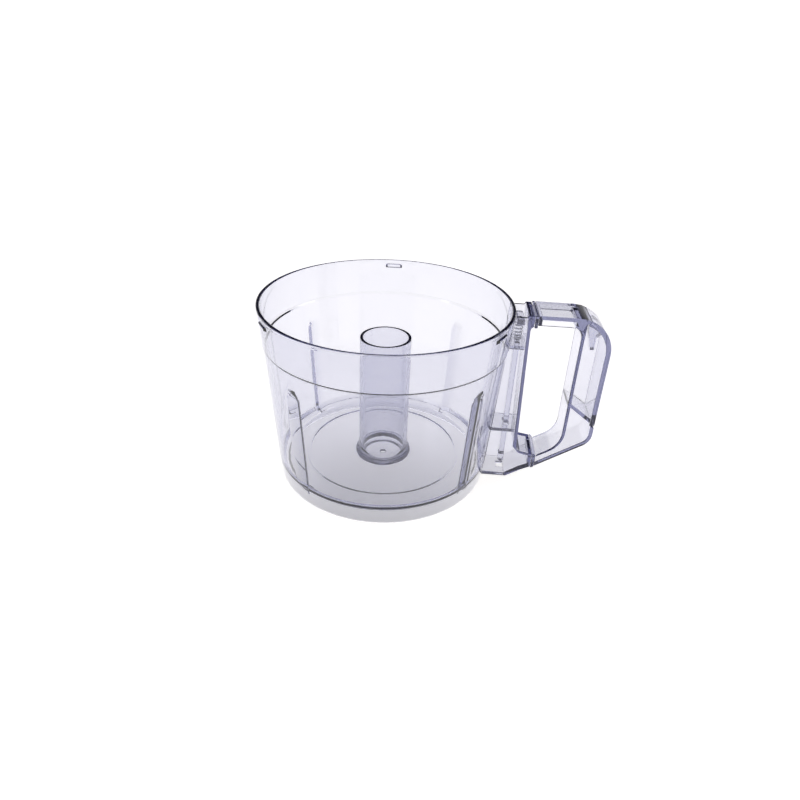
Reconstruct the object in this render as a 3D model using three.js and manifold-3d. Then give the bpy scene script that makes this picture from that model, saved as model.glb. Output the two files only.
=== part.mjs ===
// Food processor work bowl: a clear tapered bowl with a centre shaft tube, a wall-side housing that
// holds a spring-loaded interlock rod, and a hollow D handle closed by a grip cover.
// Units are millimetres. +Z is up, +X runs from the bowl's axis to the handle.
// The parts are drawn about the bowl's own axis with the foot at z = 0. The whole group is then moved
// so that its origin is the middle of the footprint of its bounding box.

import * as THREE from 'three';
import { mergeVertices } from 'three/addons/utils/BufferGeometryUtils.js';
import Module from 'manifold-3d';

const wasm = await Module();
wasm.setup();

// ---------------------------------------------------------------- driving dimensions

const GAP = 0.3; // clearance between neighbouring mouldings

// bowl
const HEIGHT = 146.8;
const RIM_R = 97.5;
const WALL = 2.5;
const RIM_WALL = 2.8;
const FOOT_R = 86.5;
const SKIRT_R = 88.2; // outer wall radius at the top of the skirt
const SKIRT_TOP = 17.5;
const FLOOR_TOP = 12;
const FLOOR_BOTTOM = 9.4;
const FLOOR_EDGE_R = 81.2; // where the floor turns up to meet the wall
const TURN_DOWN = 3.3; // how far below the skirt's top the hollow under the floor reaches
const STEP_Z = 116.6; // middle of the lid seat
const STEP_HALF = 0.8; // half the height of the lid seat's slope
const STEP_OUTER_R = 94.4; // outer wall just below the lid seat
const STEP_OUT = 1.1; // how far the wall steps out above it
const FLOOR_RIDGE_R = 63.5;
const FLOOR_RIDGE = 0.5;
const BOWL_SEGMENTS = 64;

// stirring ribs inside the wall
const RIB_ANGLES = [-38.1, 50.3, 140.3, -129.7];
const RIB_WIDTH = 13;
const RIB_TOP = 100.5;
const RIB_DEPTH = 2.2;
const RIB_CREST = 5.3; // where the ramp ends, across from the rib's middle

// lid locking lugs outside the rim
const LUG_ANGLES = [-29, 92, -147];
const LUG_WIDTH = 12;
const LUG_HEIGHT = 3.2;
const LUG_TOP = 142.7;
const LUG_PROUD = 1.3;

// shaft tube
const TUBE_R = 20.25;
const TUBE_WALL = 2.4;
const TUBE_TOP = 115.3;
const TUBE_FLANGE_R = 27;
const TUBE_FLARE = 6.5;
const WEB_TOP = 7.4; // the web closes the tube just below the floor
const WEB_THICK = 2.2;
const SPINDLE_HOLE_R = 2.6;

// rod housing on the wall, and its stubs for the handle
const BAND = 30; // width of housing and handle across the handle
const HOUSING_WALL = 2.5;
const HOUSING_BASE = 0.6;
const HOUSING_TOP = 144.4; // behind the rim's lip
const LIP_TOP = 146.2; // and along its outer face
const HOUSING_IN = 74.5; // how far in its block is drawn before the bowl is cut away
const HOUSING_R_LOW = 111.5; // outer face, low down
const HOUSING_R_HIGH = 108.5; // outer face, at the top
const TOP_STUB_X = 110.5;
const TOP_STUB_Z = 137.5;
const LOW_STUB_X = 125;
const LOW_STUB = [11.8, 25]; // heights of its underside and top
const CAP_OUT = 104.5; // outer edge of the opening in the underside

// handle
const GRIP_OUT = 170;
const GRIP_IN = 146.5;
const ARM_UNDER = 139; // underside of the top arm
const LOW_ARM = [13.2, 23.6]; // heights of the lower arm's underside and top at its joint
const OUTER_CORNER_Z = 41;
const INNER_CORNER_Z = 34.8;
const OUTER_TOP_ROUND = 28;
const OUTER_LOW_ROUND = 13;
const INNER_TOP_ROUND = 9;
const INNER_LOW_ROUND = 20;
const HANDLE_SIDE = 2.6;
const TOP_PLATE = 3.6;
const COVER_THICK = 3.8;
const COVER_START = 20; // degrees from straight up, round the top corner
const COVER_END = 56.5; // height of the cover's lower end
const WEB_IN = 72.4; // height of the web between trough and lower arm, at the grip's inner wall
const WEB_OUT = 58.8; // and at the cover
const WEB_HALF = 1.65; // half the web's thickness, measured upright
const ARM_END = 141; // inner end of the top arm's hollow
const TROUGH_TOP = 142.6; // ceiling of the grip's hollow
const TROUGH_ROUND = 16;
const HOOK_WIDTH = 9;
const COLLAR_PROUD = 0.6;
const TOP_COLLAR = [TOP_STUB_X + GAP, 113.2];
const LOW_COLLAR = [LOW_STUB_X + GAP, LOW_STUB_X + 3];

// interlock rod
const ROD_X = 101.5;
const STEM_R = 1.8;
const BAR_THICK = 4;
const BAR_WIDTH = 9;
const BAR_BOTTOM = 16;
const GUIDE_TOP = 121;
const GUIDE_THICK = 3;
const LOW_GUIDE_Z = 44;
const HEAD_BOTTOM = 136.3;
const HEAD_TOP = 141;
const HEAD_DEPTH = 6;
const HEAD_WIDTH = 17;
const TIP_BOTTOM = 8.2;
const TIP_THICK = 5;
const TIP_WIDTH = 7;
const SPRING_R = 2.75; // to the middle of the wire
const SPRING_WIRE = 0.4;
const SPRING_TURNS = 6;

// ---------------------------------------------------------------- materials

function clear(color) {
  return new THREE.MeshStandardMaterial({
    color,
    roughness: 0.05,
    metalness: 0,
    transparent: true,
    opacity: 0.35,
  });
}

const BOWL_CLEAR = 0xdfe0ee;
const HANDLE_CLEAR = 0xe6e6ee;
const ROD_CLEAR = 0xd9dcea;
const STEEL = new THREE.MeshStandardMaterial({ color: 0xb8bcc4, roughness: 0.3, metalness: 1 });

// ---------------------------------------------------------------- geometry helpers

function toSolid(geometry) {
  const plain = geometry.index ? geometry.toNonIndexed() : geometry.clone();
  plain.deleteAttribute('normal');
  plain.deleteAttribute('uv');
  const merged = mergeVertices(plain, 1e-4);
  const mesh = new wasm.Mesh({
    numProp: 3,
    vertProperties: new Float32Array(merged.attributes.position.array),
    triVerts: new Uint32Array(merged.index.array),
  });
  return new wasm.Manifold(mesh);
}

function toGeometry(solid) {
  const mesh = solid.getMesh();
  const geometry = new THREE.BufferGeometry();
  geometry.setAttribute('position', new THREE.BufferAttribute(mesh.vertProperties, 3));
  geometry.setIndex(new THREE.BufferAttribute(mesh.triVerts, 1));
  geometry.computeVertexNormals();
  return geometry;
}

// A solid of revolution about Z from [radius, z] points.
function revolve(points, segments) {
  const outline = points.map(([r, z]) => new THREE.Vector2(r, z));
  const geometry = new THREE.LatheGeometry(outline, segments);
  geometry.rotateX(Math.PI / 2);
  return toSolid(geometry);
}

// A closed ring of revolution: the outline closes on itself.
function revolveRing(points, segments) {
  return revolve([...points, points[0]], segments);
}

// A slab from an outline in the X-Z plane, centred on y = 0.
function slab(points, width) {
  const shape = new THREE.Shape(points.map(([x, z]) => new THREE.Vector2(x, z)));
  const geometry = new THREE.ExtrudeGeometry(shape, { depth: width, bevelEnabled: false });
  geometry.rotateX(Math.PI / 2);
  geometry.translate(0, width / 2, 0);
  return toSolid(geometry);
}

function block(x0, x1, width, z0, z1) {
  return slab([[x0, z0], [x1, z0], [x1, z1], [x0, z1]], width);
}

function post(x, radius, z0, z1, segments) {
  const geometry = new THREE.CylinderGeometry(radius, radius, z1 - z0, segments);
  geometry.rotateX(Math.PI / 2);
  geometry.translate(x, 0, (z0 + z1) / 2);
  return toSolid(geometry);
}

// An outline from [x, z, radius] corners, each rounded off by its radius.
function rounded(corners, steps = 7) {
  const points = corners.map(([x, z]) => new THREE.Vector2(x, z));
  return corners.flatMap(([x, z, radius], i) => {
    if (!radius) {
      return [[x, z]];
    }
    const into = points[i - 1].clone().sub(points[i]).normalize();
    const away = points[i + 1].clone().sub(points[i]).normalize();
    const half = Math.acos(into.dot(away)) / 2;
    const centre = into.clone().add(away).normalize().multiplyScalar(radius / Math.sin(half)).add(points[i]);
    const start = into.multiplyScalar(radius / Math.tan(half)).add(points[i]).sub(centre);
    const end = away.multiplyScalar(radius / Math.tan(half)).add(points[i]).sub(centre);
    const turn = Math.atan2(start.cross(end), start.dot(end));
    return Array.from({ length: steps + 1 }, (_, k) => {
      const spoke = start.clone().rotateAround(new THREE.Vector2(), (turn * k) / steps).add(centre);
      return [spoke.x, spoke.y];
    });
  });
}

// ---------------------------------------------------------------- the bowl

function bowlOutline() {
  const seatIn = STEP_OUTER_R - WALL;
  const wallIn = SKIRT_R - WALL;
  return [
    [FOOT_R, 0],
    [SKIRT_R, SKIRT_TOP],
    [STEP_OUTER_R, STEP_Z - STEP_HALF],
    [STEP_OUTER_R + STEP_OUT, STEP_Z + STEP_HALF],
    [RIM_R, HEIGHT - 3],
    [RIM_R, HEIGHT],
    [RIM_R - RIM_WALL, HEIGHT],
    [RIM_R - RIM_WALL, HEIGHT - 3],
    [seatIn + STEP_OUT, STEP_Z + STEP_HALF],
    [seatIn, STEP_Z - STEP_HALF],
    [wallIn, SKIRT_TOP],
    [FLOOR_EDGE_R + 1.5, FLOOR_TOP + 1],
    [FLOOR_EDGE_R, FLOOR_TOP],
    [FLOOR_RIDGE_R + 2, FLOOR_TOP],
    [FLOOR_RIDGE_R + 1, FLOOR_TOP + FLOOR_RIDGE],
    [FLOOR_RIDGE_R - 1, FLOOR_TOP + FLOOR_RIDGE],
    [FLOOR_RIDGE_R - 2, FLOOR_TOP],
    [TUBE_FLANGE_R + GAP, FLOOR_TOP],
    [TUBE_FLANGE_R + GAP, FLOOR_BOTTOM],
    [FLOOR_EDGE_R - 1.5, FLOOR_BOTTOM],
    [wallIn - 0.9, SKIRT_TOP - TURN_DOWN],
    [FOOT_R - WALL, 0],
  ];
}

// A rib with a round top, leaning with the wall, from the floor up. Across the rib a ramp rises to a
// crest and drops steeply behind it.
function rib(degrees) {
  const lean = Math.atan2(STEP_OUTER_R - SKIRT_R, STEP_Z - SKIRT_TOP);
  const half = RIB_WIDTH / 2;
  const reach = RIB_DEPTH + 1;
  const tall = RIB_TOP - FLOOR_TOP;
  const stand = (geometry) => {
    geometry.rotateY(lean);
    geometry.translate(SKIRT_R - WALL - RIB_DEPTH - 0.4, 0, FLOOR_TOP - 1);
    geometry.rotateZ(THREE.MathUtils.degToRad(degrees));
    return toSolid(geometry);
  };
  const arch = new THREE.Shape();
  arch.moveTo(-half, 0);
  arch.lineTo(half, 0);
  arch.lineTo(half, tall - half);
  arch.absarc(0, tall - half, half, 0, Math.PI, false);
  const plate = new THREE.ExtrudeGeometry(arch, { depth: reach, bevelEnabled: false, curveSegments: 8 });
  plate.rotateX(Math.PI / 2);
  plate.rotateZ(Math.PI / 2);
  const section = new THREE.Shape([
    new THREE.Vector2(RIB_DEPTH, -half),
    new THREE.Vector2(0, RIB_CREST),
    new THREE.Vector2(RIB_DEPTH, half),
    new THREE.Vector2(reach, half),
    new THREE.Vector2(reach, -half),
  ]);
  const wedge = new THREE.ExtrudeGeometry(section, { depth: tall, bevelEnabled: false });
  return stand(plate).intersect(stand(wedge));
}

function lug(degrees) {
  const outer = RIM_R + LUG_PROUD;
  const geometry = new THREE.BoxGeometry(LUG_PROUD + 1.8, LUG_WIDTH, LUG_HEIGHT);
  geometry.translate(outer - (LUG_PROUD + 1.8) / 2, 0, LUG_TOP - LUG_HEIGHT / 2);
  geometry.rotateZ(THREE.MathUtils.degToRad(degrees));
  return toSolid(geometry);
}

function bowlBody() {
  let solid = revolveRing(bowlOutline(), BOWL_SEGMENTS);
  for (const degrees of RIB_ANGLES) {
    solid = solid.add(rib(degrees));
  }
  for (const degrees of LUG_ANGLES) {
    solid = solid.add(lug(degrees));
  }
  return solid;
}

// Everything within the bowl's outer skin and the clearance around it.
function bowlKeepOut() {
  return revolve(
    [
      [0, -5],
      [FOOT_R + GAP, -5],
      [FOOT_R + GAP, 0],
      [SKIRT_R + GAP, SKIRT_TOP],
      [STEP_OUTER_R + GAP, STEP_Z - STEP_HALF],
      [STEP_OUTER_R + STEP_OUT + GAP, STEP_Z + STEP_HALF],
      [RIM_R + GAP, HEIGHT - 3],
      [RIM_R + GAP, HEIGHT + 5],
      [0, HEIGHT + 5],
    ],
    BOWL_SEGMENTS,
  );
}

// The tube stands on a flange in the floor. Its foot reaches below the floor and is closed by a web.
function shaftTube() {
  const inner = TUBE_R - TUBE_WALL;
  return revolveRing(
    [
      [SPINDLE_HOLE_R, WEB_TOP - WEB_THICK],
      [TUBE_R, WEB_TOP - WEB_THICK],
      [TUBE_R, FLOOR_BOTTOM],
      [TUBE_FLANGE_R, FLOOR_BOTTOM],
      [TUBE_FLANGE_R, FLOOR_TOP],
      [TUBE_R + 3.4, FLOOR_TOP + 0.9],
      [TUBE_R + 1.1, FLOOR_TOP + 2.9],
      [TUBE_R + 0.3, FLOOR_TOP + TUBE_FLARE],
      [TUBE_R, TUBE_TOP],
      [inner, TUBE_TOP],
      [inner, WEB_TOP + 1],
      [inner - 1, WEB_TOP],
      [SPINDLE_HOLE_R, WEB_TOP],
    ],
    36,
  );
}

// ---------------------------------------------------------------- the rod housing

function housingOutline() {
  return [
    [HOUSING_IN, HOUSING_BASE],
    [106, HOUSING_BASE],
    [117.6, 8],
    [LOW_STUB_X, LOW_STUB[0]],
    [LOW_STUB_X, LOW_STUB[1]],
    [115.5, 26.5],
    [112.2, 28.5],
    [HOUSING_R_LOW, 33],
    [HOUSING_R_HIGH, TOP_STUB_Z - 3],
    [HOUSING_R_HIGH + 0.6, TOP_STUB_Z - 1],
    [TOP_STUB_X, TOP_STUB_Z],
    [TOP_STUB_X, LIP_TOP],
    [HOUSING_R_HIGH - HOUSING_WALL, LIP_TOP],
    [HOUSING_R_HIGH - HOUSING_WALL - 1, HOUSING_TOP],
    [HOUSING_IN, HOUSING_TOP],
  ];
}

// The channel inside the housing, open to the bowl wall, to the top and to the underside.
function housingChannel() {
  const width = BAND - 2 * HOUSING_WALL;
  return slab(
    [
      [HOUSING_IN - 5, -5],
      [CAP_OUT, -5],
      [CAP_OUT, HOUSING_BASE + HOUSING_WALL],
      [116, 11],
      [LOW_STUB_X - HOUSING_WALL, LOW_STUB[0] + HOUSING_WALL],
      [LOW_STUB_X - HOUSING_WALL, LOW_STUB[1] - HOUSING_WALL],
      [114.5, 24],
      [HOUSING_R_LOW - HOUSING_WALL, 30],
      [HOUSING_R_HIGH - HOUSING_WALL, TOP_STUB_Z],
      [HOUSING_R_HIGH - HOUSING_WALL, HEIGHT + 5],
      [HOUSING_IN - 5, HEIGHT + 5],
    ],
    width,
  );
}

function rodHousing() {
  return slab(housingOutline(), BAND).subtract(housingChannel()).subtract(bowlKeepOut());
}

// A plate across the channel, clear of the housing's walls and of the bowl.
function channelPlate(z0, thick, outerX) {
  const width = BAND - 2 * HOUSING_WALL - 2 * GAP;
  return block(HOUSING_IN, outerX, width, z0, z0 + thick).subtract(bowlKeepOut());
}

function housingWallAt(z) {
  const t = (z - 30) / (TOP_STUB_Z - 30);
  return THREE.MathUtils.lerp(HOUSING_R_LOW, HOUSING_R_HIGH, Math.min(Math.max(t, 0), 1)) - HOUSING_WALL;
}

function barHole(clearance, z0, z1) {
  const half = BAR_THICK / 2 + clearance;
  return block(ROD_X - half, ROD_X + half, BAR_WIDTH + 2 * clearance, z0, z1);
}

function topGuide() {
  const z0 = GUIDE_TOP - GUIDE_THICK;
  const plate = channelPlate(z0, GUIDE_THICK, housingWallAt(GUIDE_TOP) - GAP);
  return plate.subtract(post(ROD_X, STEM_R + 0.4, z0 - 1, GUIDE_TOP + 1, 20));
}

function lowGuide() {
  const outerX = housingWallAt(LOW_GUIDE_Z + GUIDE_THICK) - GAP;
  const plate = channelPlate(LOW_GUIDE_Z, GUIDE_THICK, outerX);
  return plate.subtract(barHole(0.4, LOW_GUIDE_Z - 1, LOW_GUIDE_Z + GUIDE_THICK + 1));
}

function bottomCap() {
  const plate = channelPlate(HOUSING_BASE, HOUSING_WALL - GAP, CAP_OUT - GAP);
  const half = TIP_THICK / 2 + 0.5;
  const slot = block(ROD_X - half, ROD_X + 5, TIP_WIDTH + 1, HOUSING_BASE - 1, HOUSING_BASE + 5);
  return plate.subtract(slot);
}

// ---------------------------------------------------------------- the handle

// Outer and inner edges of the handle, both walked from the top joint to the bottom joint.
function handleOuterEdge() {
  return rounded([
    [TOP_COLLAR[1] + GAP, HEIGHT, 0],
    [GRIP_OUT, HEIGHT, OUTER_TOP_ROUND],
    [GRIP_OUT, OUTER_CORNER_Z, OUTER_LOW_ROUND],
    [LOW_COLLAR[1] + GAP, LOW_ARM[0], 0],
  ]);
}

function handleInnerEdge() {
  return rounded([
    [TOP_COLLAR[1] + GAP, ARM_UNDER, 0],
    [GRIP_IN, ARM_UNDER, INNER_TOP_ROUND],
    [GRIP_IN, INNER_CORNER_Z, INNER_LOW_ROUND],
    [LOW_COLLAR[1] + GAP, LOW_ARM[1], 0],
  ]);
}

// The band that the grip cover fills, grown by a clearance on its inner side and ends.
function coverBand(clearance, beyond) {
  const x = GRIP_OUT - OUTER_TOP_ROUND;
  const z = HEIGHT - OUTER_TOP_ROUND;
  const start = COVER_START - THREE.MathUtils.radToDeg(clearance / OUTER_TOP_ROUND);
  const arc = (radius) => {
    const steps = 8;
    return Array.from({ length: steps + 1 }, (_, i) => {
      const turn = THREE.MathUtils.degToRad(THREE.MathUtils.lerp(start, 90, i / steps));
      return [x + radius * Math.sin(turn), z + radius * Math.cos(turn)];
    });
  };
  const outer = [...arc(OUTER_TOP_ROUND + beyond), [GRIP_OUT + beyond, COVER_END - clearance]];
  const innerRadius = OUTER_TOP_ROUND - COVER_THICK - clearance;
  const inner = [...arc(innerRadius), [x + innerRadius, COVER_END - clearance]];
  return [...outer, ...inner.reverse()];
}

// The hollow of the lower arm: the arm's own outline, drawn in by the wall, from the joint to the web.
function lowArmHollow(width) {
  const joint = LOW_COLLAR[1] + GAP;
  const gripWall = GRIP_IN + HANDLE_SIDE;
  const coverWall = GRIP_OUT - HANDLE_SIDE;
  const rise = (OUTER_CORNER_Z - LOW_ARM[0]) / (GRIP_OUT - joint);
  const fall = (INNER_CORNER_Z - LOW_ARM[1]) / (GRIP_IN - joint);
  const under = (x) => LOW_ARM[0] + HANDLE_SIDE * Math.hypot(1, rise) + rise * (x - joint);
  const top = (x) => LOW_ARM[1] - HANDLE_SIDE * Math.hypot(1, fall) + fall * (x - joint);
  return slab(
    rounded([
      [joint - 1, under(joint - 1), 0],
      [coverWall, under(coverWall), OUTER_LOW_ROUND - HANDLE_SIDE],
      [coverWall, WEB_OUT - WEB_HALF, 0],
      [gripWall, WEB_IN - WEB_HALF, 0],
      [gripWall, top(gripWall), INNER_LOW_ROUND + HANDLE_SIDE],
      [joint - 1, top(joint - 1), 0],
    ]),
    width,
  );
}

// One hollow moulding: the top arm is open below, the grip is a trough open to the outside, and
// the lower arm is open at its joint.
function handleShell() {
  const whole = slab([...handleOuterEdge(), ...handleInnerEdge().reverse()], BAND);
  const inside = BAND - 2 * HANDLE_SIDE;
  const gripWall = GRIP_IN + HANDLE_SIDE;
  const coverIn = GRIP_OUT - COVER_THICK;
  const arm = block(TOP_COLLAR[1] + 3, ARM_END, inside, ARM_UNDER - 9, HEIGHT - TOP_PLATE);
  const trough = slab(
    rounded([
      [gripWall, WEB_IN + WEB_HALF, 0],
      [coverIn + 2, WEB_OUT + WEB_HALF, 0],
      [coverIn + 2, TROUGH_TOP, TROUGH_ROUND],
      [gripWall, TROUGH_TOP, 2],
      [gripWall, TROUGH_TOP - 10, 0],
    ]),
    inside,
  );
  const seat = slab(coverBand(GAP, 5), BAND + 2);
  return whole.subtract(arm).subtract(trough).subtract(lowArmHollow(inside)).subtract(seat);
}

// The cover closes the trough's outer side. A hook inside its top end reaches down the grip.
function gripCover() {
  const hook = slab(
    [
      [151.6, 139.3],
      [154.6, 126],
      [156.6, 118],
      [159.4, 118],
      [159.8, 128],
      [163.5, 131.6],
      [161, 136.2],
      [156.5, 141.8],
    ],
    HOOK_WIDTH,
  );
  return slab(coverBand(0, 0), BAND).add(hook);
}

function topCollar() {
  const [x0, x1] = TOP_COLLAR;
  return block(x0, x1, BAND + 2 * COLLAR_PROUD, TOP_STUB_Z - COLLAR_PROUD, HEIGHT);
}

function lowCollar() {
  const [x0, x1] = LOW_COLLAR;
  const outline = [
    [x0, LOW_STUB[0] - COLLAR_PROUD],
    [x1, LOW_ARM[0] - COLLAR_PROUD],
    [x1, LOW_ARM[1] + COLLAR_PROUD],
    [x0, LOW_STUB[1] + COLLAR_PROUD],
  ];
  return slab(outline, BAND + 2 * COLLAR_PROUD);
}

// ---------------------------------------------------------------- the interlock rod

function interlockRod() {
  const barTop = GUIDE_TOP - GUIDE_THICK - GAP;
  const half = BAR_THICK / 2;
  const bar = block(ROD_X - half, ROD_X + half, BAR_WIDTH, BAR_BOTTOM, barTop);
  return bar.add(post(ROD_X, STEM_R, barTop - 2, HEAD_BOTTOM - GAP, 20));
}

function rodHead() {
  const half = HEAD_DEPTH / 2;
  const outline = [
    [ROD_X - half, HEAD_BOTTOM],
    [ROD_X + half, HEAD_BOTTOM],
    [ROD_X + half, HEAD_TOP - 0.8],
    [ROD_X + half - 0.8, HEAD_TOP],
    [ROD_X - half + 0.8, HEAD_TOP],
    [ROD_X - half, HEAD_TOP - 0.8],
  ];
  return slab(outline, HEAD_WIDTH);
}

function rodTip() {
  const half = TIP_THICK / 2;
  const outline = [
    [ROD_X - half, BAR_BOTTOM - GAP],
    [ROD_X - half, TIP_BOTTOM + 2],
    [ROD_X - half + 1.4, TIP_BOTTOM],
    [ROD_X + half - 1.4, TIP_BOTTOM],
    [ROD_X + half, TIP_BOTTOM + 2],
    [ROD_X + half, BAR_BOTTOM - GAP],
  ];
  return slab(outline, TIP_WIDTH);
}

class Helix extends THREE.Curve {
  constructor(x, radius, z0, z1, turns) {
    super();
    Object.assign(this, { x, radius, z0, z1, turns });
  }

  getPoint(t, target = new THREE.Vector3()) {
    const angle = 2 * Math.PI * this.turns * t;
    const z = THREE.MathUtils.lerp(this.z0, this.z1, t);
    return target.set(this.x + this.radius * Math.cos(angle), this.radius * Math.sin(angle), z);
  }
}

function rodSpring() {
  const low = GUIDE_TOP + GAP + SPRING_WIRE;
  const high = HEAD_BOTTOM - GAP - SPRING_WIRE;
  const wire = new THREE.Shape();
  wire.absarc(0, 0, SPRING_WIRE, 0, 2 * Math.PI, false);
  return new THREE.ExtrudeGeometry(wire, {
    steps: SPRING_TURNS * 12,
    curveSegments: 6,
    bevelEnabled: false,
    extrudePath: new Helix(ROD_X, SPRING_R, low, high, SPRING_TURNS),
  });
}

// ---------------------------------------------------------------- the assembly

const bowl = new THREE.Group();

function place(parent, name, shape, material) {
  const geometry = shape.isBufferGeometry ? shape : toGeometry(shape);
  const mesh = new THREE.Mesh(geometry, material);
  mesh.name = name;
  parent.add(mesh);
}

place(bowl, 'bowl_body', bowlBody(), clear(BOWL_CLEAR));
place(bowl, 'shaft_tube', shaftTube(), clear(BOWL_CLEAR));
place(bowl, 'rod_housing', rodHousing(), clear(BOWL_CLEAR));
place(bowl, 'rod_top_guide', topGuide(), clear(ROD_CLEAR));
place(bowl, 'rod_low_guide', lowGuide(), clear(ROD_CLEAR));
place(bowl, 'housing_bottom_cap', bottomCap(), clear(BOWL_CLEAR));

const handle = new THREE.Group();
place(handle, 'handle_shell', handleShell(), clear(HANDLE_CLEAR));
place(handle, 'grip_cover', gripCover(), clear(HANDLE_CLEAR));
place(handle, 'handle_top_collar', topCollar(), clear(HANDLE_CLEAR));
place(handle, 'handle_low_collar', lowCollar(), clear(HANDLE_CLEAR));

const interlock = new THREE.Group();
place(interlock, 'interlock_rod', interlockRod(), clear(ROD_CLEAR));
place(interlock, 'rod_head', rodHead(), clear(ROD_CLEAR));
place(interlock, 'rod_tip', rodTip(), clear(ROD_CLEAR));
place(interlock, 'rod_spring', rodSpring(), STEEL);

const assembly = new THREE.Group();
assembly.add(bowl, handle, interlock);

const extent = new THREE.Box3().setFromObject(assembly);
const middle = extent.getCenter(new THREE.Vector3());
assembly.position.set(-middle.x, -middle.y, -extent.min.z);

export default assembly;
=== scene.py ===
import math

import bmesh
import bpy
from mathutils import Matrix, Vector


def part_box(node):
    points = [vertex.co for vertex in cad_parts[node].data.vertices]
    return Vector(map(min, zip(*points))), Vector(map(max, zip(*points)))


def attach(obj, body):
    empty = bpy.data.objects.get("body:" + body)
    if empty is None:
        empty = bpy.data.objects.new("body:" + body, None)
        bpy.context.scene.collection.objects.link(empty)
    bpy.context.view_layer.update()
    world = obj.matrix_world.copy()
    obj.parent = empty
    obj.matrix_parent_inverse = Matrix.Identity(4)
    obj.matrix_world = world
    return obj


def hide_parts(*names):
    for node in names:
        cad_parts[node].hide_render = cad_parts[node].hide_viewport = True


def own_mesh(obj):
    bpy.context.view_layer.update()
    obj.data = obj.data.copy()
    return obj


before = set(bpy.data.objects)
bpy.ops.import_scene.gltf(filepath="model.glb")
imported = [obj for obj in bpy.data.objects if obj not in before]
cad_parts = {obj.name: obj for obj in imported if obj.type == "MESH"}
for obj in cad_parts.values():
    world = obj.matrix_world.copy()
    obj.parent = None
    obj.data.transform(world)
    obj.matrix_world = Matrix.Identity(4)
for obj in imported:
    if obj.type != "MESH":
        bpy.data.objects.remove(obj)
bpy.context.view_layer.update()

MM = 0.001

# ---------------------------------------------------------------- sizes, in millimetres

TUBE_LOW, TUBE_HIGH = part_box("shaft_tube")
BOWL_LOW, BOWL_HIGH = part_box("bowl_body")
AXIS_X = (TUBE_LOW.x + TUBE_HIGH.x) / 2 / MM  # the bowl's axis in the row frame
AXIS_Y = (TUBE_LOW.y + TUBE_HIGH.y) / 2 / MM

HEIGHT = BOWL_HIGH.z / MM
RIM_R = AXIS_X - BOWL_LOW.x / MM
WALL = 2.5
RIM_WALL = 2.8
FOOT_R = 86.5
SKIRT_R = 88.2  # outer wall at the top of the skirt
SKIRT_TOP = 17.5
FLOOR_TOP = 12
FLOOR_BOTTOM = 9.4
FLOOR_EDGE_R = 81.2  # where the floor turns up to meet the wall
TURN_DOWN = 3.3  # how far below the skirt's top the hollow under the floor reaches
STEP_Z = 116.6
STEP_HALF = 0.8
STEP_OUTER_R = 94.4
STEP_OUT = 1.1
RIDGE_R = 63.5
RIDGE_HIGH = 0.5
RIDGE_CREST = 1  # half its width on top
RIDGE_BASE = 2
RIM_BAND = 3  # the part of the wall below the rim that stands straight

RIB_ANGLES = (-38.1, 50.3, 140.3, -129.7)
RIB_HALF = 6.5
RIB_TOP = 100.5
RIB_DEPTH = 2.2
RIB_CREST = 5.3  # where the ramp ends, across from the rib's middle
RIB_EDGE = 1.2  # over this height the rib's top fades into the wall
RIB_REACH = 8  # the inner face of the wall lies less than this inside its middle

LUG_ANGLES = (-29, 92, -147)
LUG_HALF = 6
LUG_POINTS = (-6, -5.7, -5.4, -3, 0, 3, 5.4, 5.7, 6)  # where the mesh has points across a lug
LUG_TOP = 142.7
LUG_HEIGHT = 3.2
LUG_PROUD = 1.2
LUG_SIDE_SLOPE = 0.3
LUG_END_SLOPE = 0.4

TUBE_R = 20.25
TUBE_WALL = 2.4
TUBE_LEAN = 0.3  # how much wider the tube is at its foot
TUBE_FLARE = 6.5
TUBE_TOP = TUBE_HIGH.z / MM
WEB_TOP = 7.4
WEB_BOTTOM = TUBE_LOW.z / MM
SPINDLE_R = 2.6

ARM_UNDER = 139  # underside of the top arm, which is open below
WINDOW = (128 + AXIS_X, 90)  # x and z of the middle of the handle's window
WINDOW_SOFT = 2.4  # rounding of the handle's edges along its window

SPRING_LOW, SPRING_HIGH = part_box("rod_spring")  # in metres
SPRING_TURNS = 6
WIRE = 0.4 * MM  # the wire's radius


def row(x, y, z):
    """A point given about the bowl's axis in millimetres, in the row frame in metres."""
    return Vector(((x + AXIS_X) * MM, (y + AXIS_Y) * MM, z * MM))


# ---------------------------------------------------------------- mesh helpers


def new_object(name, mesh, material, body, *nodes, slot):
    """A visible piece that rides on a body and takes the place of its CAD nodes."""
    obj = bpy.data.objects.new(name, mesh)
    bpy.context.scene.collection.objects.link(obj)
    mesh.materials.clear()
    mesh.materials.append(material)
    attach(obj, body)
    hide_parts(*nodes)
    return obj


def fillet(points, steps=5):
    """A closed outline of (x, y, radius) with each corner rounded to its radius."""
    out = []
    count = len(points)
    for i, (x, y, radius) in enumerate(points):
        here = Vector((x, y))
        before = Vector(points[i - 1][:2])
        after = Vector(points[(i + 1) % count][:2])
        into = (before - here).normalized()
        away = (after - here).normalized()
        half = into.angle(away) / 2
        most = 0.48 * min((before - here).length, (after - here).length)
        reach = min(radius / math.tan(half), most)
        start, end = here + into * reach, here + away * reach
        for k in range(steps + 1):
            t = k / steps
            point = start * (1 - t) ** 2 + here * 2 * t * (1 - t) + end * t * t
            out.append((point.x, point.y))
    return out


def subdivide(points, longest):
    """A closed outline with no side longer than longest."""
    out = []
    for i, point in enumerate(points):
        a = Vector(point)
        b = Vector(points[(i + 1) % len(points)])
        parts = max(1, math.ceil((b - a).length / longest(a, b)))
        out += [tuple(a.lerp(b, k / parts)) for k in range(parts)]
    return out


def slope(before, here, after, step_in, step_out):
    """The curve's tangent at the middle of three unevenly spaced points."""
    return (after - here) * (step_in / step_out) + (here - before) * (step_out / step_in)


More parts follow.
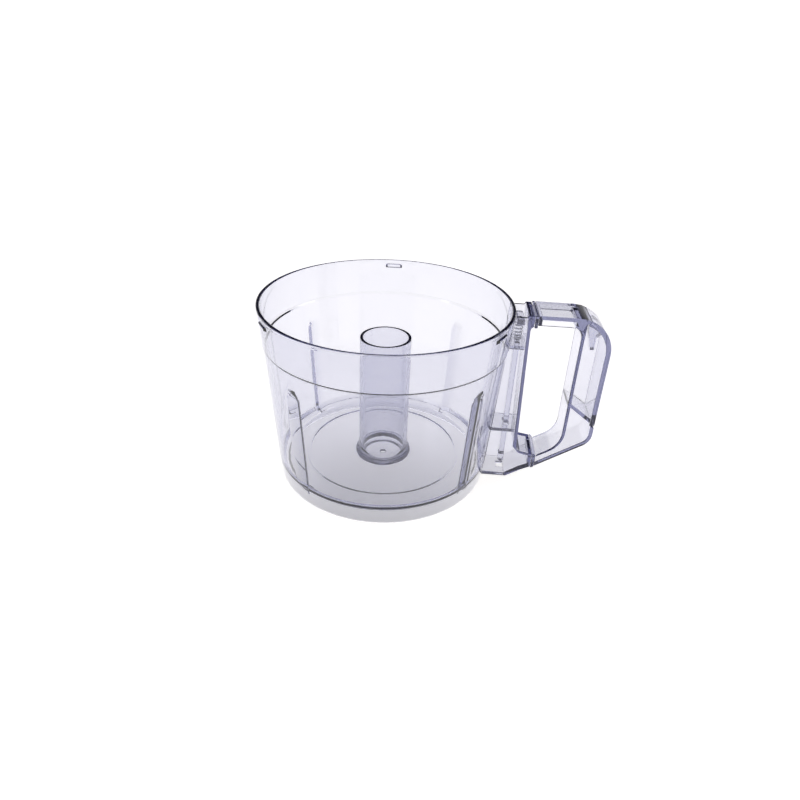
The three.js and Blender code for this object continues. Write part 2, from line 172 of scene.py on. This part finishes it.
def ring_mesh(name, outline, angles, push):
    """A closed ring of revolution about the bowl's axis. push moves a point's radius."""
    n, m = len(angles), len(outline)
    rings = []
    for angle in angles:
        c, s = math.cos(angle), math.sin(angle)
        reach = [(push(angle, r, z), z) for r, z in outline]
        rings.append([row(r * c, r * s, z) for r, z in reach])
    faces, normals = [], []
    for i in range(n):
        j = (i + 1) % n
        step_in = (angles[i] - angles[i - 1]) % math.tau
        step_out = (angles[j] - angles[i]) % math.tau
        for k in range(m):
            up = (k + 1) % m
            faces.append((i * m + k, j * m + k, j * m + up, i * m + up))
            around = slope(rings[i - 1][k], rings[i][k], rings[j][k], step_in, step_out)
            along = rings[i][up] - rings[i][k - 1]
            normals.append(around.cross(along).normalized())
    mesh = bpy.data.meshes.new(name)
    mesh.from_pydata([point for ring in rings for point in ring], [], faces)
    mesh.shade_smooth()
    mesh.normals_split_custom_set_from_vertices(normals)
    return mesh


def round_edges(work, edges, width, segments, clamp=True):
    """Round edges from width mm back. clamp keeps each rounding off its neighbours."""
    bmesh.ops.bevel(
        work,
        geom=edges,
        offset=width * MM,
        offset_type="OFFSET",
        segments=segments,
        profile=0.5,
        affect="EDGES",
        clamp_overlap=clamp,
    )


def is_sharp(edge):
    """True for an edge to be rounded."""
    return edge.is_manifold and edge.calc_face_angle(0) > math.radians(35)


def window_edges(work, half):
    """Sharp edges half away from the middle plane, beside faces that look to the window."""
    found = []
    for edge in work.edges:
        near = all(abs(abs(v.co.y - AXIS_Y * MM) - half) < 0.05 * MM for v in edge.verts)
        if not near or not is_sharp(edge):
            continue
        middle = (edge.verts[0].co + edge.verts[1].co) / 2
        if middle.z > (ARM_UNDER - 0.5) * MM:
            continue
        across = max((f.normal for f in edge.link_faces), key=lambda n: abs(n.x) + abs(n.z))
        to_window = Vector((WINDOW[0] * MM - middle.x, 0, WINDOW[1] * MM - middle.z))
        if across.dot(to_window.normalized()) > 0.3:
            found.append(edge)
    return found


def polished(node, bevel, soft):
    """A copy of a CAD node's own solid with clean faces and edges rounded by bevel, in mm.

    soft is the larger rounding of the edges along the handle's window."""
    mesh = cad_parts[node].data.copy()
    work = bmesh.new()
    work.from_mesh(mesh)
    bmesh.ops.remove_doubles(work, verts=work.verts, dist=2e-6)
    bmesh.ops.dissolve_limit(
        work, angle_limit=math.radians(2), verts=work.verts, edges=work.edges
    )
    if soft:
        outer = max(abs(v.co.y - AXIS_Y * MM) for v in work.verts)
        round_edges(work, window_edges(work, outer), soft, 6, clamp=False)
    round_edges(work, [e for e in work.edges if is_sharp(e)], bevel, 3)
    bmesh.ops.recalc_face_normals(work, faces=work.faces)
    work.to_mesh(mesh)
    work.free()
    mesh.shade_smooth()
    mesh.set_sharp_from_angle(angle=math.radians(30))
    return mesh


# ---------------------------------------------------------------- materials


def new_material(name):
    """A node material, with its nodes, links and shader."""
    material = bpy.data.materials.new(name)
    material.use_nodes = True
    nodes, links = material.node_tree.nodes, material.node_tree.links
    return material, nodes, links, nodes["Principled BSDF"]


def noise(nodes, links, scale, detail=2):
    """Noise that is fixed to the object."""
    place = nodes.new("ShaderNodeTexCoord")
    texture = nodes.new("ShaderNodeTexNoise")
    texture.inputs["Scale"].default_value = scale
    texture.inputs["Detail"].default_value = detail
    links.new(place.outputs["Object"], texture.inputs["Vector"])
    return texture.outputs["Fac"]


def spread(nodes, links, value, old, new):
    """The value with its range old stretched over the range new."""
    node = nodes.new("ShaderNodeMapRange")
    node.inputs["From Min"].default_value, node.inputs["From Max"].default_value = old
    node.inputs["To Min"].default_value, node.inputs["To Max"].default_value = new
    links.new(value, node.inputs["Value"])
    return node.outputs["Result"]


def ramp(nodes, links, value, *stops):
    """A colour for the value, between two stops of (position, colour)."""
    node = nodes.new("ShaderNodeValToRGB")
    for element, (position, colour) in zip(node.color_ramp.elements, stops):
        element.position = position
        element.color = (*colour, 1)
    links.new(value, node.inputs["Fac"])
    return node.outputs["Color"]


def maths(nodes, links, operation, *values):
    """The result of a Math node on two values, each a socket or a number."""
    node = nodes.new("ShaderNodeMath")
    node.operation = operation
    for socket, value in zip(node.inputs, values):
        if isinstance(value, bpy.types.NodeSocket):
            links.new(value, socket)
        else:
            socket.default_value = value
    return node.outputs["Value"]


def clear_plastic(name, density, haze=0.02):
    """Clear moulded plastic: flow ripples and fine scuffs, darkened along its depth."""
    material, nodes, links, shader = new_material(name)
    shader.inputs["Base Color"].default_value = (1, 1, 1, 1)
    shader.inputs["Transmission Weight"].default_value = 1
    shader.inputs["IOR"].default_value = 1.57
    scuff = noise(nodes, links, SCUFF_SCALE)
    rough = spread(nodes, links, scuff, (0.35, 0.75), (haze * 0.4, haze * 1.6))
    links.new(rough, shader.inputs["Roughness"])
    bump = nodes.new("ShaderNodeBump")
    bump.inputs["Strength"].default_value = 0.02
    bump.inputs["Distance"].default_value = 0.0006
    links.new(noise(nodes, links, RIPPLE_SCALE, detail=3), bump.inputs["Height"])
    links.new(bump.outputs["Normal"], shader.inputs["Normal"])
    depth = nodes.new("ShaderNodeVolumeAbsorption")
    depth.inputs["Color"].default_value = (*VIOLET, 1)
    depth.inputs["Density"].default_value = density
    links.new(depth.outputs["Volume"], nodes["Material Output"].inputs["Volume"])
    return material


def spring_steel():
    """Drawn wire with fine streaks of tone and gloss."""
    material, nodes, links, shader = new_material("spring_steel")
    shader.inputs["Metallic"].default_value = 1
    drawn = noise(nodes, links, WIRE_SCALE)
    tone = ramp(nodes, links, drawn, (0, (0.42, 0.43, 0.46)), (1, (0.66, 0.67, 0.7)))
    links.new(tone, shader.inputs["Base Color"])
    rough = spread(nodes, links, drawn, (0, 1), (0.2, 0.4))
    links.new(rough, shader.inputs["Roughness"])
    return material


VIOLET = (0.0, 0.02, 0.34)
SCUFF_SCALE, RIPPLE_SCALE, WIRE_SCALE = 900, 120, 1500  # noise cells per metre

bowl_plastic = clear_plastic("bowl_plastic", 65)
handle_plastic = clear_plastic("handle_plastic", 50)
rod_plastic = clear_plastic("rod_plastic", 30, haze=0.08)
steel = spring_steel()

# ---------------------------------------------------------------- the bowl


def bowl_outline():
    """The bowl with its centre tube as one outline, up the outside and down the inside."""
    seat_in = STEP_OUTER_R - WALL
    wall_in = SKIRT_R - WALL
    tube_in = TUBE_R - TUBE_WALL
    corners = [
        (FOOT_R, 0, 0.5),
        (SKIRT_R, SKIRT_TOP, 1),
        (STEP_OUTER_R, STEP_Z - STEP_HALF, 0.3),
        (STEP_OUTER_R + STEP_OUT, STEP_Z + STEP_HALF, 0.3),
        (RIM_R, HEIGHT - RIM_BAND, 2),
        (RIM_R, HEIGHT, 1.1),
        (RIM_R - RIM_WALL, HEIGHT, 1.1),
        (RIM_R - RIM_WALL, HEIGHT - RIM_BAND, 2),
        (seat_in + STEP_OUT, STEP_Z + STEP_HALF, 0.3),
        (seat_in, STEP_Z - STEP_HALF, 0.3),
        (wall_in, SKIRT_TOP, 3),
        (FLOOR_EDGE_R, FLOOR_TOP, 3),
        (RIDGE_R + RIDGE_BASE, FLOOR_TOP, 0.5),
        (RIDGE_R + RIDGE_CREST, FLOOR_TOP + RIDGE_HIGH, 0.5),
        (RIDGE_R - RIDGE_CREST, FLOOR_TOP + RIDGE_HIGH, 0.5),
        (RIDGE_R - RIDGE_BASE, FLOOR_TOP, 0.5),
        (TUBE_R + TUBE_LEAN, FLOOR_TOP, TUBE_FLARE),
        (TUBE_R, TUBE_TOP, 0.6),
        (tube_in, TUBE_TOP, 0.6),
        (tube_in, WEB_TOP, 5),
        (SPINDLE_R, WEB_TOP, 0.3),
        (SPINDLE_R, WEB_BOTTOM, 0.3),
        (TUBE_R, WEB_BOTTOM, 0.6),
        (TUBE_R + TUBE_LEAN, FLOOR_BOTTOM, 1),
        (FLOOR_EDGE_R - 1.5, FLOOR_BOTTOM, 3),
        (wall_in - 0.9, SKIRT_TOP - TURN_DOWN, 0.8),
        (FOOT_R - WALL, 0, 0.5),
    ]

    def longest(a, b):
        inner_wall = min(a.x, b.x) > wall_in - 6 and max(a.y, b.y) > FLOOR_TOP and b.y < a.y
        near_top = abs((a.y + b.y) / 2 - RIB_TOP) < 10
        by_lug = min(a.x, b.x) > STEP_OUTER_R + 0.5 and max(a.y, b.y) > STEP_Z + 5
        if inner_wall:
            return 0.5 if near_top else 3
        return 0.4 if by_lug else 6

    return subdivide(fillet(corners), longest)


def rib_depth(across):
    """A rib's section: a ramp up from one side and a steep drop at the other."""
    climb = (across + RIB_HALF) / (RIB_HALF + RIB_CREST)
    drop = (RIB_HALF - across) / (RIB_HALF - RIB_CREST)
    return RIB_DEPTH * min(max(min(climb, drop), 0), 1)


def turn_from(degrees, angle):
    """The turn from degrees to an angle in radians, as radians from -pi to pi."""
    return math.radians((math.degrees(angle) - degrees + 180) % 360 - 180)


def rib_height(angle, z):
    """How far the nearest stirring rib stands in from the wall at this place."""
    best = 0
    for degrees in RIB_ANGLES:
        across = turn_from(degrees, angle) * STEP_OUTER_R
        if abs(across) >= RIB_HALF:
            continue
        arch = RIB_TOP - RIB_HALF + math.sqrt(RIB_HALF**2 - across**2)
        share = min(max((arch - z) / RIB_EDGE, 0), 1)
        best = max(best, share * rib_depth(across))
    return best


def lug_height(angle, z):
    """How far the nearest locking lug stands out from the rim at this place."""
    best = 0
    for degrees in LUG_ANGLES:
        across = abs(turn_from(degrees, angle) * RIM_R)
        side = min(max((LUG_HALF - across) / LUG_SIDE_SLOPE, 0), 1)
        inside = min(LUG_TOP - z, z - (LUG_TOP - LUG_HEIGHT))
        end = min(max(inside / LUG_END_SLOPE, 0), 1)
        best = max(best, LUG_PROUD * side * end)
    return best


def bowl_push(angle, r, z):
    """The radius of a point of the outline, once the ribs and lugs have moved it."""
    lean = (STEP_OUTER_R - SKIRT_R) / (STEP_Z - SKIRT_TOP)
    middle_r = SKIRT_R - WALL / 2 + (z - SKIRT_TOP) * lean
    on_wall = FLOOR_TOP + 0.05 < z < STEP_Z - STEP_HALF - 0.5
    if on_wall and middle_r - RIB_REACH < r < middle_r:
        return r - rib_height(angle, z)
    if z > LUG_TOP - 6 and r > RIM_R - 1.2:
        return r + lug_height(angle, z)
    return r


def bowl_angles():
    """Even turns, with more of them at the edges of each rib and lug."""
    turns = set()
    for degrees in RIB_ANGLES:
        for k in range(-12, 13):
            turns.add((degrees + math.degrees(k * RIB_HALF / 12 / STEP_OUTER_R)) % 360)
        for across in (RIB_CREST - 0.2, RIB_CREST, RIB_CREST + 0.2, RIB_HALF - 0.2):
            turns.add((degrees + math.degrees(across / STEP_OUTER_R)) % 360)
    for degrees in LUG_ANGLES:
        for across in LUG_POINTS:
            turns.add((degrees + math.degrees(across / RIM_R)) % 360)
    for i in range(360):
        if all(abs((i - turn + 180) % 360 - 180) > 0.5 for turn in turns):
            turns.add(float(i))
    return [math.radians(t) for t in sorted(turns)]


new_object(
    "bowl_with_tube",
    ring_mesh("bowl_with_tube", bowl_outline(), bowl_angles(), bowl_push),
    bowl_plastic,
    "bowl",
    "bowl_body",
    "shaft_tube",
    slot="bowl_clear",
)

# ---------------------------------------------------------------- housing, handle and rod

for node, bevel, material, body, slot in (
    ("rod_housing", 0.6, bowl_plastic, "bowl", "bowl_clear"),
    ("rod_top_guide", 0.3, rod_plastic, "bowl", "rod_clear"),
    ("rod_low_guide", 0.3, rod_plastic, "bowl", "rod_clear"),
    ("housing_bottom_cap", 0.3, bowl_plastic, "bowl", "bowl_clear"),
    ("handle_shell", 0.8, handle_plastic, "bowl", "handle_clear"),
    ("grip_cover", 0.4, handle_plastic, "bowl", "handle_clear"),
    ("handle_top_collar", 0.5, handle_plastic, "bowl", "handle_clear"),
    ("handle_low_collar", 0.5, handle_plastic, "bowl", "handle_clear"),
    ("interlock_rod", 0.3, rod_plastic, "rod", "rod_clear"),
    ("rod_head", 0.4, rod_plastic, "rod", "rod_clear"),
    ("rod_tip", 0.4, rod_plastic, "rod", "rod_clear"),
):
    soft = WINDOW_SOFT if node == "handle_shell" else 0
    mesh = polished(node, bevel, soft)
    piece = new_object(node + "_piece", mesh, material, body, node, slot=slot)
    even = piece.modifiers.new("even_flats", "WEIGHTED_NORMAL")
    even.weight = 100
    even.keep_sharp = True


def coil():
    """A wire coiled about the rod's stem, with its ends laid flat for most of a turn."""
    middle = (SPRING_LOW + SPRING_HIGH) / 2
    radius = (SPRING_HIGH.y - SPRING_LOW.y) / 2 - WIRE
    low, high = SPRING_LOW.z + WIRE, SPRING_HIGH.z - WIRE
    per_turn, around = 32, 10
    steps = SPRING_TURNS * per_turn
    flat = 0.75 / SPRING_TURNS
    centres = []
    for k in range(steps + 1):
        t = k / steps
        rise = min(max((t - flat) / (1 - 2 * flat), 0), 1)
        lift = 2 * WIRE * (min(t / flat, 1) - min((1 - t) / flat, 1))
        z = low + 2 * WIRE + rise * (high - low - 4 * WIRE) + lift
        angle = math.tau * SPRING_TURNS * t
        centres.append((angle, z))
    verts, faces = [], []
    for angle, z in centres:
        out = Vector((math.cos(angle), math.sin(angle), 0))
        centre = Vector((middle.x, middle.y, z)) + out * radius
        for j in range(around):
            turn = math.tau * j / around
            rise = Vector((0, 0, WIRE * math.sin(turn)))
            verts.append(centre + out * (WIRE * math.cos(turn)) + rise)
    for k in range(steps):
        for j in range(around):
            a, b = k * around, (k + 1) * around
            faces.append((a + j, a + (j + 1) % around, b + (j + 1) % around, b + j))
    faces.append(tuple(range(around - 1, -1, -1)))
    faces.append(tuple(range(steps * around, (steps + 1) * around)))
    mesh = bpy.data.meshes.new("coil")
    mesh.from_pydata(verts, [], faces)
    work = bmesh.new()
    work.from_mesh(mesh)
    bmesh.ops.recalc_face_normals(work, faces=work.faces)
    work.to_mesh(mesh)
    work.free()
    mesh.shade_smooth()
    return mesh


spring = new_object(
    "rod_spring_coil", coil(), steel, "bowl", "rod_spring", slot="spring_steel"
)
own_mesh(spring)

# ---------------------------------------------------------------- stage, light and camera

FLOOR_GLOW = 0.89
GLOW_FADE = (0.7, 1.5)  # heights in metres between which the backdrop's glow fades out
PALE_UP_TO, DIM_FROM = 0.25, 0.5  # the backdrop's own colour, as shares of BACKDROP_TOP
BACKDROP_TOP = 3.0
PALE, DIM = (0.8, 0.8, 0.8), (0.1, 0.1, 0.2)
SHADOW_EDGE = (0.082, 0.0875)  # the painted shadow under the bowl, a lowered glow, fades out between these radii
SHADOW_Y = (0.05, -0.085)  # from its back to its front
SHADOW_DEPTH = (-0.1, 0.55)


def paper():
    """A light table's top: pale, a little luminous, dimmer in the backdrop, and with a
    painted shadow under the bowl where its glow is lowered.
    """
    material, nodes, links, shader = new_material("paper")
    shader.inputs["Roughness"].default_value = 0.9
    shader.inputs["Specular IOR Level"].default_value = 0.1
    shader.inputs["Emission Color"].default_value = (1.0, 0.985, 0.95, 1)
    place = nodes.new("ShaderNodeNewGeometry")
    split = nodes.new("ShaderNodeSeparateXYZ")
    links.new(place.outputs["Position"], split.inputs["Vector"])
    x, y, z = (split.outputs[axis] for axis in "XYZ")

    flat = nodes.new("ShaderNodeCombineXYZ")
    links.new(x, flat.inputs["X"])
    links.new(y, flat.inputs["Y"])
    aside = nodes.new("ShaderNodeVectorMath")
    aside.operation = "DISTANCE"
    aside.inputs[1].default_value = row(0, 0, 0)
    links.new(flat.outputs["Vector"], aside.inputs[0])

    # painted shadow: the floor's glow is lowered inside the bowl's foot, more towards the
    # front, in place of a cast shadow
    under = spread(nodes, links, aside.outputs["Value"], SHADOW_EDGE, (1, 0))
    front = spread(nodes, links, y, SHADOW_Y, SHADOW_DEPTH)
    shadow = maths(nodes, links, "MULTIPLY", under, front)
    lit = maths(nodes, links, "SUBTRACT", 1, shadow)
    fade = spread(nodes, links, z, GLOW_FADE, (FLOOR_GLOW, 0))
    glow = maths(nodes, links, "MULTIPLY", fade, lit)
    links.new(glow, shader.inputs["Emission Strength"])

    height = maths(nodes, links, "DIVIDE", z, BACKDROP_TOP)
    shade = ramp(nodes, links, height, (PALE_UP_TO, PALE), (DIM_FROM, DIM))
    links.new(shade, shader.inputs["Base Color"])
    return material


def studio():
    """A floor that sweeps up all round into a dim backdrop, a dim sky and soft lights."""
    radius, rise, steps, turns = 2.2, 1.6, 24, 64
    profile = [(0.3 * k, 0.0) for k in range(1, 8)]
    for k in range(steps + 1):
        turn = math.pi / 2 * k / steps
        profile.append((radius + rise * math.sin(turn), rise * (1 - math.cos(turn))))
    profile.append((radius + rise, BACKDROP_TOP))
    verts = [(0, 0, 0)]
    for i in range(turns):
        angle = math.tau * i / turns
        verts += [(r * math.cos(angle), r * math.sin(angle), z) for r, z in profile]
    faces = []
    for i in range(turns):
        a = 1 + i * len(profile)
        b = 1 + (i + 1) % turns * len(profile)
        faces.append((0, a, b))
        for k in range(len(profile) - 1):
            faces.append((a + k, a + k + 1, b + k + 1, b + k))
    floor = bpy.data.meshes.new("floor")
    floor.from_pydata(verts, [], faces)
    floor.shade_smooth()
    obj = bpy.data.objects.new("floor", floor)
    bpy.context.scene.collection.objects.link(obj)
    floor.materials.append(paper())

    world = bpy.data.worlds.new("world")
    bpy.context.scene.world = world
    world.use_nodes = True
    background = world.node_tree.nodes["Background"]
    background.inputs["Color"].default_value = (0.45, 0.46, 1, 1)
    background.inputs["Strength"].default_value = 0.1

    for name, place, size, power in (
        ("overhead", (0.0, 0.2, 1.6), 0.9, 4),
        ("left", (-1.3, -0.7, 1.1), 0.5, 2),
        ("right", (1.4, 0.3, 1.2), 0.5, 2),
    ):
        lamp = bpy.data.lights.new(name, "AREA")
        lamp.shape = "SQUARE"
        lamp.size = size
        lamp.energy = power
        holder = bpy.data.objects.new(name, lamp)
        bpy.context.scene.collection.objects.link(holder)
        holder.location = place
        aim = Vector((0, 0, 0.07)) - Vector(place)
        holder.rotation_euler = aim.to_track_quat("-Z", "Y").to_euler()


CAM_DISTANCE = 437.45  # level, in mm from the bowl's axis
CAM_HEIGHT = 315.6
CAM_TURN = math.radians(5.3)  # the handle's turn away from square-on
CAM_PITCH = 0.532  # in radians, as are yaw and roll
CAM_YAW = 0.030
CAM_ROLL = 0.041
LENS = 27.45


def set_camera():
    """A camera where the photo's was: the pose was fitted to the bowl's circles."""
    data = bpy.data.cameras.new("camera")
    data.lens = LENS
    data.sensor_width = 36
    data.clip_start = 0.01
    obj = bpy.data.objects.new("camera", data)
    bpy.context.scene.collection.objects.link(obj)
    yaw = CAM_YAW - CAM_TURN
    ahead = Vector((math.sin(yaw), math.cos(yaw), 0)) * math.cos(CAM_PITCH)
    forward = ahead + Vector((0, 0, -math.sin(CAM_PITCH)))
    level = Vector((math.cos(yaw), -math.sin(yaw), 0))
    rise = level.cross(forward)
    right = level * math.cos(CAM_ROLL) + rise * math.sin(CAM_ROLL)
    up = rise * math.cos(CAM_ROLL) - level * math.sin(CAM_ROLL)
    aside, back = CAM_DISTANCE * math.sin(CAM_TURN), CAM_DISTANCE * math.cos(CAM_TURN)
    spot = row(aside, -back, CAM_HEIGHT)
    turn = Matrix((right, up, -forward)).transposed().to_4x4()
    obj.matrix_world = Matrix.Translation(spot) @ turn
    bpy.context.scene.camera = obj


studio()
set_camera()

scene = bpy.context.scene
scene.view_settings.view_transform = "Standard"
scene.cycles.max_bounces = 32
scene.cycles.transmission_bounces = 32
scene.cycles.glossy_bounces = 12
scene.cycles.diffuse_bounces = 4
scene.cycles.caustics_refractive = True
scene.cycles.caustics_reflective = True
